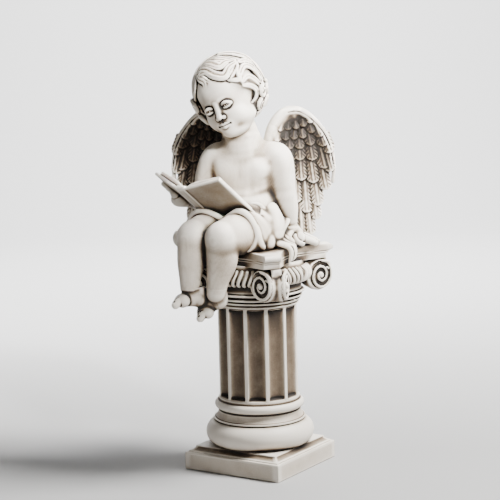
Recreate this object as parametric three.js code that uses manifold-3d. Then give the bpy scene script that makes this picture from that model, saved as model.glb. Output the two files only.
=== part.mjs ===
// A cast stone cherub that sits reading on an Ionic pedestal. Millimetres, +Z up.
// The origin is the centre of the plinth's underside and the plinth's front faces -Y.
import * as THREE from "three";
import { mergeVertices } from "three/addons/utils/BufferGeometryUtils.js";
import Module from "manifold-3d";

const wasm = await Module();
wasm.setup();

// Pedestal: driving dimensions.
const plinthSide = 190;
const plinthHeight = 30;
const plinthHip = 7; // rise of the hollow slope above the slab
const torusRadius = 93.5;
const shaftRadius = 69;
const shaftFoot = 120;
const shaftHead = 284;
const fluteCount = 12;
const fluteRadius = 21.1;
const fluteDepth = 8.5;
const capitalRadius = 84;
const voluteRadius = 26.5;
const voluteCentreHeight = 328;
const voluteReach = 110; // from the column's axis to the middle of a volute's face
const voluteOffset = 23; // from the diagonal to the middle of a volute's face
const capitalTurn = 2.5; // degrees that the volutes are off the abacus's diagonals
const abacusBottom = 357;
const abacusTop = 381.7;
const abacusHalf = 97; // half side at the corners, where the four hollow sides meet
const abacusHollow = 17; // how far each side curves in
const seatHeight = 382; // the figure starts 0.3 mm above the abacus
const seatClearance = 1;
const shortestEdge = 1.5; // no edge of the finished solids is much shorter
const flattestFace = 0.08; // and no face is much lower on its longest edge

// Figure: landmarks of the body as [left, back, up], and the turn of each part of it.
const torsoTurn = 20; // degrees that the chest faces to the figure's left
const headTurn = 5;
const headNod = 12;
const headLean = 20; // degrees towards the figure's right shoulder
const body = {
  pelvis: [-9, -14, 412],
  belly: [-9, -17, 452],
  chest: [-10, -13, 506],
  neckFoot: [-10, -13, 552],
  neckTop: [-15, -24, 590],
  skull: [-23, -37, 642],
  shoulderLeft: [44, 9, 540],
  elbowLeft: [52, 14, 470],
  wristLeft: [52, 24, 413],
  shoulderRight: [-60, -28, 540],
  elbowRight: [-86, -26, 472],
  wristRight: [-94, -70, 466],
  hipLeft: [20, -14, 412],
  kneeLeft: [11, -114, 408],
  calfLeft: [6, -113, 367],
  ankleLeft: [-6, -115, 317],
  hipRight: [-42, -22, 412],
  kneeRight: [-45, -117, 409],
  calfRight: [-47, -126, 368],
  ankleRight: [-47, -131, 329],
};
const bookHinge = [-34, -51, 430]; // foot of the right-hand cover's hinge
const bookSpine = [-16, -82, 65]; // along the spine, from foot to head
const bookRight = [69, 0, 17]; // from the spine to the fore-edge, each way
const bookLeft = [-62, 28, 20];
const bookBack = [-20, 4, 0]; // across the spine
const wingLeft = { root: [6, 38, 544], out: [0.743, 0.669, 0], side: 1 };
const wingRight = { root: [-48, 14, 544], out: [-0.985, -0.174, 0], side: -1 };

const stone = new THREE.MeshStandardMaterial({
  color: 0xd9d0c3,
  roughness: 0.62,
  metalness: 0,
});
const wornStone = new THREE.MeshStandardMaterial({
  color: 0xcfc6b8,
  roughness: 0.68,
  metalness: 0,
});

const vector = (point) => new THREE.Vector3(...point);
const radians = THREE.MathUtils.degToRad;

// Joining and cutting.

function solid(geometry) {
  const loose = geometry.index ? geometry.toNonIndexed() : geometry.clone();
  loose.deleteAttribute("normal");
  loose.deleteAttribute("uv");
  const merged = mergeVertices(loose, 1e-4);
  const corners = Array.from(merged.index.array);
  const kept = [];
  for (let i = 0; i < corners.length; i += 3) {
    const [a, b, c] = corners.slice(i, i + 3);
    if (a !== b && b !== c && c !== a) kept.push(a, b, c);
  }
  return new wasm.Manifold(
    new wasm.Mesh({
      numProp: 3,
      vertProperties: merged.getAttribute("position").array,
      triVerts: new Uint32Array(kept),
    }),
  );
}

const joined = (solids) => solids.reduce((whole, next) => whole.add(next));

// The faces of a closed mesh, each a list of three corners, grouped by corner.
function facesByCorner(faces) {
  const groups = new Map();
  for (const face of faces) {
    for (const corner of face) {
      if (!groups.has(corner)) groups.set(corner, []);
      groups.get(corner).push(face);
    }
  }
  return groups;
}

// Draw short edges together, so that a joined solid has no slivers. An edge stays where
// closing it would pinch the surface: its ends may share two neighbours and no more.
function withoutSlivers(points, faces, shortest) {
  let kept = faces;
  for (let pass = 0; pass < 12; pass++) {
    const groups = facesByCorner(kept);
    const around = (corner) => new Set(groups.get(corner).flat().filter((other) => other !== corner));
    const touched = new Set();
    const edges = [];
    for (const face of kept) {
      face.forEach((a, i) => {
        const b = face[(i + 1) % 3];
        const length = points[a].distanceTo(points[b]);
        if (a < b && length < shortest) edges.push([length, a, b]);
      });
    }
    edges.sort((one, other) => one[0] - other[0]);
    for (const [, a, b] of edges) {
      const nearA = around(a);
      const nearB = around(b);
      const shared = [...nearA].filter((corner) => nearB.has(corner));
      const all = [a, b, ...nearA, ...nearB];
      if (shared.length !== 2 || all.some((corner) => touched.has(corner))) continue;
      all.forEach((corner) => touched.add(corner));
      groups.get(b).forEach((face) => face.splice(face.indexOf(b), 1, a));
    }
    if (!touched.size) break;
    kept = kept.filter(([a, b, c]) => a !== b && b !== c && c !== a);
  }
  return kept;
}

// Turn the long edge of each face that is all but flat towards the far corner of its neighbour.
function flipFlatFaces(points, faces, lowest) {
  const owner = new Map();
  const edgeKey = (a, b) => a + "_" + b;
  for (const face of faces) {
    face.forEach((a, i) => owner.set(edgeKey(a, face[(i + 1) % 3]), face));
  }
  const touched = new Set();
  for (const face of faces) {
    const sides = [0, 1, 2].map((i) => points[face[i]].distanceTo(points[face[(i + 1) % 3]]));
    const longest = sides.indexOf(Math.max(...sides));
    const [a, b, c] = [0, 1, 2].map((step) => face[(longest + step) % 3]);
    const area = new THREE.Triangle(points[a], points[b], points[c]).getArea();
    const other = owner.get(edgeKey(b, a));
    if ((2 * area) / sides[longest] > lowest || touched.has(face) || touched.has(other)) continue;
    const far = other.find((corner) => corner !== a && corner !== b);
    if (owner.has(edgeKey(c, far)) || owner.has(edgeKey(far, c))) continue;
    const near = new Set([face, other]);
    for (const [from, to] of [[b, c], [c, a], [a, far], [far, b]]) near.add(owner.get(edgeKey(to, from)));
    near.forEach((one) => touched.add(one));
    face.splice(0, 3, a, far, c);
    other.splice(0, 3, far, b, c);
  }
  return touched.size;
}

function meshOf(name, shape, material) {
  const made = shape.getMesh();
  const corners = new THREE.BufferAttribute(made.vertProperties, 3);
  const points = [];
  for (let i = 0; i < corners.count; i++) {
    points.push(new THREE.Vector3().fromBufferAttribute(corners, i));
  }
  const faces = [];
  for (let i = 0; i < made.triVerts.length; i += 3) {
    faces.push(Array.from(made.triVerts.subarray(i, i + 3)));
  }
  const geometry = new THREE.BufferGeometry();
  geometry.setAttribute("position", corners);
  let kept = withoutSlivers(points, faces, shortestEdge);
  for (let pass = 0; pass < 8 && flipFlatFaces(points, kept, flattestFace); pass++) {
    kept = withoutSlivers(points, kept, shortestEdge);
  }
  geometry.setIndex(kept.flat());
  geometry.computeVertexNormals();
  const mesh = new THREE.Mesh(geometry, material);
  mesh.name = name;
  return mesh;
}

// Basic forms.

// A frame whose columns are the figure's left, back and up, after a turn, a nod and a lean.
function frameAt(origin, turn = 0, nod = 0, lean = 0) {
  const turned = new THREE.Matrix4().makeRotationZ(radians(turn));
  turned.multiply(new THREE.Matrix4().makeRotationX(radians(nod)));
  turned.multiply(new THREE.Matrix4().makeRotationY(radians(-lean)));
  return turned.setPosition(vector(origin));
}

function ball(frame, centre, radii, segments = 10) {
  const shape = new THREE.SphereGeometry(1, segments, Math.round(segments * 0.6));
  shape.scale(...radii);
  shape.translate(...centre);
  return solid(shape.applyMatrix4(frame));
}

// A limb between two points with a round end of its own radius at each.
function limb(from, fromRadius, to, toRadius, segments = 8) {
  const axis = vector(to).sub(vector(from));
  const length = axis.length();
  const slope = Math.asin((fromRadius - toRadius) / length);
  const capSteps = fromRadius < 10 ? 1 : 2;
  const profile = [];
  for (let i = 0; i <= capSteps; i++) {
    const angle = -Math.PI / 2 + ((Math.PI / 2 + slope) * i) / capSteps;
    const across = i === 0 ? 0 : fromRadius * Math.cos(angle);
    profile.push(new THREE.Vector2(across, fromRadius * Math.sin(angle)));
  }
  for (let i = 0; i <= capSteps; i++) {
    const angle = slope + ((Math.PI / 2 - slope) * i) / capSteps;
    const across = i === capSteps ? 0 : toRadius * Math.cos(angle);
    profile.push(new THREE.Vector2(across, length + toRadius * Math.sin(angle)));
  }
  const shape = new THREE.LatheGeometry(profile, segments);
  const turn = new THREE.Quaternion().setFromUnitVectors(
    new THREE.Vector3(0, 1, 0),
    axis.normalize(),
  );
  shape.applyQuaternion(turn);
  shape.translate(...from);
  return solid(shape);
}

// Limbs in a row through [point, radius] pairs.
function chain(stops, segments) {
  const links = [];
  for (let i = 1; i < stops.length; i++) {
    const [start, radius] = stops[i - 1];
    links.push(limb(start, radius * 0.95, ...stops[i], segments));
  }
  return joined(links);
}

function lathed(points, segments, startAngle = 0) {
  const profile = points.map(([radius, height]) => new THREE.Vector2(radius, height));
  const shape = new THREE.LatheGeometry(profile, segments, startAngle);
  return solid(shape.rotateX(Math.PI / 2));
}

function extruded(shape, depth, frame, curveSegments = 3) {
  const made = new THREE.ExtrudeGeometry(shape, {
    depth,
    curveSegments,
    bevelEnabled: false,
  });
  return solid(frame ? made.applyMatrix4(frame) : made);
}

// Points of a round moulding from one (radius, height) to another, bulging by a share of its height.
function roll(from, to, bulge, steps) {
  const points = [];
  for (let i = 0; i <= steps; i++) {
    const part = i / steps;
    const radius = from[0] + (to[0] - from[0]) * part + bulge * Math.sin(Math.PI * part);
    const height = from[1] + ((to[1] - from[1]) * (1 - Math.cos(Math.PI * part))) / 2;
    points.push([radius, height]);
  }
  return points;
}

// Pedestal.

function plinth() {
  const toCorner = Math.SQRT2;
  const half = plinthSide / 2;
  const lip = half * 0.95;
  const inner = half * 0.85;
  const top = plinthHeight + plinthHip;
  const outline = [
    [0, 0],
    [half, 0],
    [half, plinthHeight],
    [lip, plinthHeight],
    [lip - 3, plinthHeight + 1.5],
    [inner + 2, plinthHeight + 4],
    [inner, top],
    [inner, top + 3],
    [0, top + 3],
  ];
  const square = outline.map(([side, height]) => [side * toCorner, height]);
  return lathed(square, 4, Math.PI / 4);
}

function mouldings() {
  const segments = 22;
  const top = plinthHeight + plinthHip;
  const foot = lathed(
    [
      [0, plinthHeight],
      [74, plinthHeight],
      ...roll([80, top + 1], [80.5, 82], torusRadius - 80.3, 5),
      [82, 84],
      [76, 90],
      [71, 97],
      [70, 100],
      ...roll([70, 101], [70, 116], 7.5, 3),
      [shaftRadius + 0.6, shaftFoot],
      [0, shaftFoot],
    ],
    segments,
  );
  const head = lathed(
    [
      [0, shaftHead],
      [shaftRadius, shaftHead],
      ...roll([69, 289], [71, 298], 6, 2),
      ...roll([73, 299], [75, 309], 6, 2),
      ...roll([76, 311], [capitalRadius, 336], 3, 2),
      [capitalRadius + 2, 350],
      [76, abacusBottom],
      [76, abacusBottom + 2],
      [0, abacusBottom + 2],
    ],
    segments,
  );
  return foot.add(head);
}

function shaft() {
  const outline = new THREE.Shape();
  const reach = shaftRadius - fluteDepth + fluteRadius; // where each flute's arc has its middle
  const half = Math.acos((fluteRadius ** 2 + reach ** 2 - shaftRadius ** 2) / (2 * fluteRadius * reach));
  const steps = 5;
  for (let flute = 0; flute < fluteCount; flute++) {
    const middle = (flute * 2 * Math.PI) / fluteCount;
    for (let i = 0; i <= steps; i++) {
      const swing = half * ((2 * i) / steps - 1);
      const along = reach - fluteRadius * Math.cos(swing);
      const across = fluteRadius * Math.sin(swing);
      const x = along * Math.cos(middle) - across * Math.sin(middle);
      const y = along * Math.sin(middle) + across * Math.cos(middle);
      if (flute === 0 && i === 0) outline.moveTo(x, y);
      else outline.lineTo(x, y);
    }
  }
  const frame = new THREE.Matrix4().makeTranslation(0, 0, shaftFoot - 2);
  return extruded(outline, shaftHead - shaftFoot + 4, frame);
}

// The concave-sided square of the abacus, grown by a margin.
function abacusOutline(margin) {
  const half = abacusHalf + margin;
  const cut = 19; // the corners are truncated
  const outline = new THREE.Shape();
  for (let side = 0; side < 4; side++) {
    const turn = (side * Math.PI) / 2;
    const place = (x, y) => [
      x * Math.cos(turn) - y * Math.sin(turn),
      x * Math.sin(turn) + y * Math.cos(turn),
    ];
    const start = place(-half + cut, -half);
    const middle = place(0, -half + 2 * abacusHollow);
    const end = place(half - cut, -half);
    if (side === 0) outline.moveTo(...start);
    else outline.lineTo(...start);
    outline.quadraticCurveTo(...middle, ...end);
  }
  return outline;
}

function abacus() {
  const upper = new THREE.ExtrudeGeometry(abacusOutline(-2.5), {
    depth: 5,
    curveSegments: 5,
    bevelThickness: 2.5,
    bevelSize: 2.5,
    bevelSegments: 1,
  });
  upper.translate(0, 0, abacusTop - 7.5);
  const band = new THREE.Matrix4().makeTranslation(0, 0, abacusBottom);
  const lower = extruded(abacusOutline(-6), abacusTop - abacusBottom - 8, band, 5);
  return solid(upper).add(lower);
}

// One scroll: a thick disc whose face carries a raised spiral band that winds in to an eye.
function scroll(frame, hand) {
  const turns = 1.4;
  const steps = 9;
  const bandWidth = 4.6;
  const radiusAt = (part) => voluteRadius * (1 - 0.78 * part ** 0.8);
  const spiral = new THREE.Shape();
  const inward = [];
  for (let i = 0; i <= steps; i++) {
    const part = i / steps;
    const angle = Math.PI / 2 + part * turns * 2 * Math.PI;
    const outer = radiusAt(part);
    const inner = outer - bandWidth * (1 - 0.45 * part);
    const x = Math.cos(angle) * hand;
    const y = Math.sin(angle);
    if (i === 0) spiral.moveTo(x * outer, y * outer);
    else spiral.lineTo(x * outer, y * outer);
    inward.unshift([x * inner, y * inner]);
  }
  inward.forEach(([x, y]) => spiral.lineTo(x, y));
  const thickness = 22;
  const relief = 3;
  const disc = new THREE.CylinderGeometry(voluteRadius - 1, voluteRadius - 1, thickness, 9);
  disc.rotateX(Math.PI / 2);
  disc.translate(0, 0, -thickness / 2 - relief);
  const band = new THREE.Matrix4().makeTranslation(0, 0, -relief - 1).premultiply(frame);
  return joined([
    solid(disc.applyMatrix4(frame)),
    extruded(spiral, relief + 1, band),
  ]);
}

function volutes() {
  const made = [];
  const splay = radians(65); // between a scroll's face and the diagonal
  for (let corner = 0; corner < 4; corner++) {
    const angle = radians(capitalTurn + 45 + 90 * corner);
    const out = new THREE.Vector3(Math.cos(angle), Math.sin(angle), 0);
    const across = new THREE.Vector3(-out.y, out.x, 0);
    const up = new THREE.Vector3(0, 0, 1);
    for (const hand of [-1, 1]) {
      const normal = out.clone().multiplyScalar(Math.cos(splay));
      normal.addScaledVector(across, hand * Math.sin(splay));
      const middle = out.clone().multiplyScalar(voluteReach);
      middle.addScaledVector(across, hand * voluteOffset);
      middle.z = voluteCentreHeight;
      const frame = new THREE.Matrix4().makeBasis(up.clone().cross(normal), up, normal);
      made.push(scroll(frame.setPosition(middle), hand));
    }
    const leaf = frameAt([out.x * 96, out.y * 96, voluteCentreHeight], THREE.MathUtils.radToDeg(angle));
    made.push(ball(leaf, [0, 0, 4], [30, 20, 25], 5));
    const block = new THREE.BoxGeometry(38, 15, 12);
    block.rotateZ(angle);
    block.translate(out.x * 106, out.y * 106, abacusBottom - 5);
    made.push(solid(block));
  }
  return joined(made);
}

function pedestal() {
  return joined([plinth(), mouldings(), shaft(), volutes(), abacus()]);
}

// Figure.

function torso() {
  const facing = (origin) => frameAt(origin, torsoTurn);
  return joined([
    ball(facing(body.pelvis), [0, 0, 0], [57, 46, 38], 10),
    ball(facing(body.belly), [0, 0, 0], [48, 44, 44], 10),
    ball(facing(body.chest), [0, 0, 0], [49, 37, 44], 10),
    limb(body.shoulderLeft, 20, body.chest.map((at, i) => at + [0, 0, 24][i]), 27),
    limb(body.shoulderRight, 20, body.chest.map((at, i) => at + [0, 0, 24][i]), 27),
    limb(body.neckFoot, 32, body.neckTop, 30),
  ]);
}

function hand(palm, along, across, spread, fingerLength) {
  const reach = vector(along).normalize();
  const side = vector(across).normalize();
  const made = [];
  for (let finger = 0; finger < 4; finger++) {
    const offset = (finger - 1.5) * 10;
    const start = vector(palm).addScaledVector(side, offset * 0.7);
    const end = start.clone().addScaledVector(reach, fingerLength);
    end.addScaledVector(side, (finger - 1.5) * spread);
    made.push(limb(start.toArray(), 8.5, end.toArray(), 5.5, 5));
  }
  return joined(made);
}

function arms() {
  const left = chain([[body.shoulderLeft, 21], [body.elbowLeft, 18], [body.wristLeft, 14]]);
  const right = chain([[body.shoulderRight, 21], [body.elbowRight, 18], [body.wristRight, 13]]);
  const palmLeft = [59, 34, 394];
  const palmRight = [-98, -86, 470];
  return joined([
    left,
    limb(body.wristLeft, 13, palmLeft, 12, 8),
    hand(palmLeft, [0.66, 0.72, -0.16], [0.74, -0.66, 0], 2.5, 34),
    right,
    limb(body.wristRight, 13, palmRight, 12, 8),
    hand(palmRight, [-0.87, 0.4, 0.29], [-0.15, -0.775, 0.615], 1.5, 34),
  ]);
}

function foot(ankle, heel, toes) {
  const made = [limb(ankle, 17, heel, 15, 8), limb(heel, 15, toes, 12, 8)];
  const along = vector(toes).sub(vector(heel)).normalize();
  const side = new THREE.Vector3(0, 0, 1).cross(along).normalize();
  for (let toe = 0; toe < 5; toe++) {
    const start = vector(toes).addScaledVector(side, (toe - 2) * 7);
    const end = start.clone().addScaledVector(along, 14 - Math.abs(toe - 1.5) * 2);
    made.push(limb(start.toArray(), 6, end.toArray(), 5, 5));
  }
  return joined(made);
}

function legs() {
  return joined([
    chain([[body.hipLeft, 38], [body.kneeLeft, 31]], 10),
    chain([[body.kneeLeft, 26], [body.calfLeft, 24], [body.ankleLeft, 17]], 8),
    foot(body.ankleLeft, [-7, -108, 303], [-29, -120, 287]),
    chain([[body.hipRight, 38], [body.kneeRight, 31]], 10),
    chain([[body.kneeRight, 25], [body.calfRight, 22], [body.ankleRight, 19]], 8),
    foot(body.ankleRight, [-35, -124, 307], [-54, -150, 305]),
  ]);
}

// The head: skull and face, and the locks of hair laid round it in rows.
function head() {
  const frame = frameAt(body.skull, headTurn, headNod, headLean);
  const made = [
    ball(frame, [0, 8, 10], [58, 60, 61], 12),
    ball(frame, [0, -13, -16], [44, 43, 47], 12),
    ball(frame, [0, -34, -46], [18, 17, 15], 8),
    ball(frame, [0, -55, -17], [6, 7, 7], 6),
  ];
  for (const side of [-1, 1]) {
    made.push(ball(frame, [side * 20, -33, -27], [20, 17, 19], 8));
    made.push(ball(frame, [side * 46, 4, -12], [8, 10, 14], 6));
  }
  const rows = [
    { height: 26, spread: 50, locks: 5, opening: 0.75, size: 15 },
    { height: -4, spread: 53, locks: 5, opening: 1.15, size: 16 },
    { height: -32, spread: 46, locks: 4, opening: 1.3, size: 15 },
  ];
  for (const { height, spread, locks, opening, size } of rows) {
    for (let i = 0; i < locks; i++) {
      const part = i / (locks - 1);
      const angle = -Math.PI / 2 + opening + part * 2 * (Math.PI - opening);
      const centre = [spread * Math.cos(angle), 6 + spread * 1.04 * Math.sin(angle), height];
      made.push(ball(frame, centre, [size, size, size * 1.15], 6));
    }
  }
  return joined(made);
}

// A slab with its sides along three edges from one corner.
function slab(corner, along, across, thickness) {
  const first = vector(along);
  const second = vector(across);
  const normal = first.clone().cross(second).normalize();
  const box = new THREE.BoxGeometry(1, 1, 1);
  box.translate(0.5, 0.5, 0.5);
  const frame = new THREE.Matrix4().makeBasis(first, second, normal.multiplyScalar(thickness));
  return solid(box.applyMatrix4(frame.setPosition(vector(corner))));
}

function book() {
  const hinge = vector(bookHinge);
  const farHinge = hinge.clone().add(vector(bookBack));
  const spine = vector(bookSpine);
  const cover = 5;
  const pages = 13;
  const share = 0.94; // of a cover that its pages take up
  const inset = spine.clone().multiplyScalar((1 - share) / 2).add(new THREE.Vector3(0, 2, 2.5));
  const shorter = spine.clone().multiplyScalar(share).toArray();
  const rightPages = vector(bookRight).multiplyScalar(share).toArray();
  const leftPages = vector(bookLeft).multiplyScalar(share).toArray();
  // The back runs a little past both hinges and into the pages, so that it holds the covers.
  const across = vector(bookBack).multiplyScalar(-1.3);
  const back = spine.clone().multiplyScalar(0.98);
  const inwards = back.clone().cross(across).normalize();
  const backStart = farHinge.clone().addScaledVector(spine, 0.01);
  backStart.addScaledVector(across, -0.12).addScaledVector(inwards, 0.8);
  return joined([
    slab(hinge.toArray(), bookRight, bookSpine, cover),
    slab(farHinge.toArray(), bookSpine, bookLeft, cover),
    slab(backStart.toArray(), across.toArray(), back.toArray(), 11),
    slab(hinge.clone().add(inset).toArray(), rightPages, shorter, pages),
    slab(farHinge.clone().add(inset).toArray(), shorter, leftPages, pages),
  ]);
}

// One feather in a wing's own plane: a blade with a round tip, from its root to its tip.
function feather(frame, root, tip, width, level, thickness) {
  const length = Math.hypot(tip[0] - root[0], tip[1] - root[1]);
  const angle = Math.atan2(tip[1] - root[1], tip[0] - root[0]);
  const half = width / 2;
  const blade = new THREE.Shape();
  blade.moveTo(0, -half * 0.8);
  blade.lineTo(length - half * 1.3, -half);
  blade.quadraticCurveTo(length, -half, length, 0);
  blade.quadraticCurveTo(length, half, length - half * 1.3, half);
  blade.lineTo(0, half * 0.8);
  const place = new THREE.Matrix4().makeRotationZ(angle);
  place.setPosition(root[0], root[1], level);
  return extruded(blade, thickness, place.premultiply(frame), 1);
}

function wing({ root, out, side }) {
  const outward = vector(out);
  const up = new THREE.Vector3(0, 0, 1);
  const front = outward.clone().cross(up).multiplyScalar(side);
  const frame = new THREE.Matrix4().makeBasis(outward, up.multiplyScalar(1), front);
  if (side < 0) frame.makeBasis(outward, up, front.negate());
  frame.setPosition(vector(root));
  const face = side; // which way along the frame's third axis the front lies
  const rows = [
    { count: 7, roots: [[26, 18], [98, 24]], tips: [[12, -96], [60, -160], [113, -56]], width: 19, level: 0 },
    { count: 4, roots: [[24, 30], [92, 34]], tips: [[14, -46], [60, -66], [108, -34]], width: 20, level: 3.5 },
    { count: 4, roots: [[20, 40], [88, 42]], tips: [[12, -6], [58, -18], [104, 4]], width: 22, level: 7 },
  ];
  const made = [];
  for (const { count, roots, tips, width, level } of rows) {
    const edge = new THREE.QuadraticBezierCurve(
      new THREE.Vector2(...tips[0]),
      new THREE.Vector2(...tips[1]),
      new THREE.Vector2(...tips[2]),
    );
    for (let i = 0; i < count; i++) {
      const part = i / (count - 1);
      const start = [0, 1].map((k) => roots[0][k] + (roots[1][k] - roots[0][k]) * part);
      const thickness = 6;
      const lift = level + i * 0.3; // each feather lies a little over the last
      const depth = face > 0 ? lift : -lift - thickness;
      made.push(feather(frame, start, edge.getPoint(part).toArray(), width, depth, thickness));
    }
  }
  const arm = [[0, -6, 9], [14, 42, 9], [36, 63, 8], [72, 57, 7], [102, 20, 5]];
  const stops = arm.map(([across, height, radius]) => [
    new THREE.Vector3(across, height, face * 6).applyMatrix4(frame).toArray(),
    radius,
  ]);
  made.push(chain(stops, 5));
  made.push(limb(stops[0][0], 9, [root[0] - out[0] * 12, root[1] - 14, root[2] - 18], 13, 8));
  const web = new THREE.Shape();
  web.moveTo(2, -30);
  web.lineTo(14, 40);
  web.lineTo(32, 60);
  web.lineTo(72, 56);
  web.lineTo(98, 28);
  web.lineTo(100, -20);
  web.lineTo(40, -60);
  const back = face > 0 ? -0.7 : -7.3;
  made.push(extruded(web, 8, new THREE.Matrix4().makeTranslation(0, 0, back).premultiply(frame)));
  return joined(made);
}

// The loincloth: a wrap over the hips and thighs, its side knot and the ends that trail from it.
function cloth() {
  const hips = [
    limb([-46, -12, 414], 40, [26, 2, 414], 40, 9),
    limb([20, -14, 412], 42, [18, -66, 411], 40, 9),
    limb([-42, -22, 412], 41, [-45, -62, 412], 38, 9),
  ];
  const knot = ball(frameAt([50, -36, 398]), [0, 0, 0], [14, 14, 16], 8);
  const trail = [
    chain([[[50, -36, 400], 11], [[66, -26, 392], 10], [[84, -16, 385], 8], [[92, -14, 370], 5]], 6),
    chain([[[50, -20, 402], 9], [[70, -4, 390], 9], [[90, 10, 384], 6]], 6),
    chain([[[36, -30, 432], 10], [[46, -22, 418], 10], [[52, -30, 404], 9]], 6),
  ];
  const bunch = ball(frameAt([-99, -78, 400]), [0, 0, 0], [15, 16, 16], 8);
  const hem = limb([-60, -66, 406], 18, [-92, -76, 397], 12, 8);
  return joined([...hips, knot, ...trail, bunch, hem]);
}

function figure() {
  const whole = joined([
    torso(),
    arms(),
    legs(),
    head(),
    book(),
    wing(wingLeft),
    wing(wingRight),
    cloth(),
  ]);
  const below = new THREE.Matrix4().makeTranslation(0, 0, 200);
  const seat = extruded(abacusOutline(seatClearance), seatHeight - 200, below, 5);
  return whole.subtract(seat);
}

const statue = new THREE.Group();
statue.add(meshOf("ionic_pedestal", pedestal(), stone));
statue.add(meshOf("cherub_figure", figure(), wornStone));

export default statue;
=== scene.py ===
import math

import bpy
import numpy as np
import openvdb
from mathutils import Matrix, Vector


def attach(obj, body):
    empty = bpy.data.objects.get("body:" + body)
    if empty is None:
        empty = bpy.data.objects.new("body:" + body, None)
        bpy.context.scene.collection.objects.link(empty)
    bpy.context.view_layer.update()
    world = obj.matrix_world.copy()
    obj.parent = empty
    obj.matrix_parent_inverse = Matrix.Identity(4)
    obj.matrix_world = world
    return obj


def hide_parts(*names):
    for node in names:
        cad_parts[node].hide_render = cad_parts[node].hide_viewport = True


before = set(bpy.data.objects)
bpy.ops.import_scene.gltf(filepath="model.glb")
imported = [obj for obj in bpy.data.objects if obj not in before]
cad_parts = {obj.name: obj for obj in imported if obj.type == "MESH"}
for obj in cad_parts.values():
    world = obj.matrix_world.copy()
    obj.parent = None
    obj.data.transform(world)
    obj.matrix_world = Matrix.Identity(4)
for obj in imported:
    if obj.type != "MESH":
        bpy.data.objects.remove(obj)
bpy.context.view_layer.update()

statueParts = []
far = 12.0  # distances in the clay are kept no larger than this
wholeBlock = (slice(None),) * 3


# Small helpers. Everything is in millimetres until a mesh is made.


def curveThrough(points, steps):
    # Catmull-Rom through rows of any width, so radii run smoothly as well as places.
    rows = np.array(points, float)
    if len(rows) < 3:
        share = np.linspace(0, 1, steps + 1)[:, None]
        return rows[0] + (rows[-1] - rows[0]) * share
    ends = np.vstack([2 * rows[0] - rows[1], rows, 2 * rows[-1] - rows[-2]])
    made = []
    for i in range(1, len(ends) - 2):
        before, start, end, after = ends[i - 1 : i + 3]
        for t in np.arange(steps) / steps:
            made.append(
                0.5
                * (
                    2 * start
                    + (end - before) * t
                    + (2 * before - 5 * start + 4 * end - after) * t * t
                    + (3 * start - before - 3 * end + after) * t**3
                )
            )
    made.append(rows[-1])
    return np.array(made)


def unit(vector):
    vector = np.array(vector, float)
    return vector / np.linalg.norm(vector)


def frameOf(origin, columns):
    # A place for a piece that is modelled about its own origin.
    made = np.eye(4)
    made[:3, :3] = np.array(columns, float).T
    made[:3, 3] = origin
    return made


def moved(points, place):
    return points @ place[:3, :3].T + place[:3, 3]


def layPatinaAndShade(piece, amounts):
    # Patina and painted shade that lie on a piece, as one attribute; some is laid before its hollows are
    # known.
    attribute = piece.data.attributes.new("patina_and_shade", "FLOAT", "POINT")
    attribute.data.foreach_set("value", amounts.astype(np.float32))


def objectOf(name, points, edges, faces):
    mesh = bpy.data.meshes.new(name)
    mesh.from_pydata(points, edges, faces)
    made = bpy.data.objects.new(name, mesh)
    bpy.context.collection.objects.link(made)
    return made


def chosen(piece):
    bpy.ops.object.select_all(action="DESELECT")
    bpy.context.view_layer.objects.active = piece
    piece.select_set(True)
    return piece


def addPiece(name, points, faces, node):
    piece = objectOf(name, (np.asarray(points) / 1000).tolist(), [], faces)
    piece.data.shade_smooth()
    statueParts.append((piece, node))
    return piece


def turnedTo(degrees):
    # The columns of a frame that is turned about the upright axis.
    angle = math.radians(degrees)
    return (math.cos(angle), math.sin(angle), 0), (-math.sin(angle), math.cos(angle), 0), (0, 0, 1)


def blurred(field, reach):
    # Three box blurs by running sums stand in for a Gaussian.
    for axis in range(3):
        for _ in range(3):
            margins = [(reach + 1, reach) if k == axis else (0, 0) for k in range(3)]
            total = np.cumsum(np.pad(field, margins, mode="edge"), axis=axis, dtype=np.float64)
            size = field.shape[axis]
            ahead = np.take(total, np.arange(size) + 2 * reach + 1, axis=axis)
            behind = np.take(total, np.arange(size), axis=axis)
            field = ((ahead - behind) / (2 * reach + 1)).astype(np.float32)
    return field


def meshArrays(piece):
    mesh = piece.data
    points = np.empty(len(mesh.vertices) * 3, np.float32)
    mesh.vertices.foreach_get("co", points)
    normals = np.empty(len(mesh.vertices) * 3, np.float32)
    mesh.vertices.foreach_get("normal", normals)
    return points.reshape(-1, 3) * 1000, normals.reshape(-1, 3)


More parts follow.
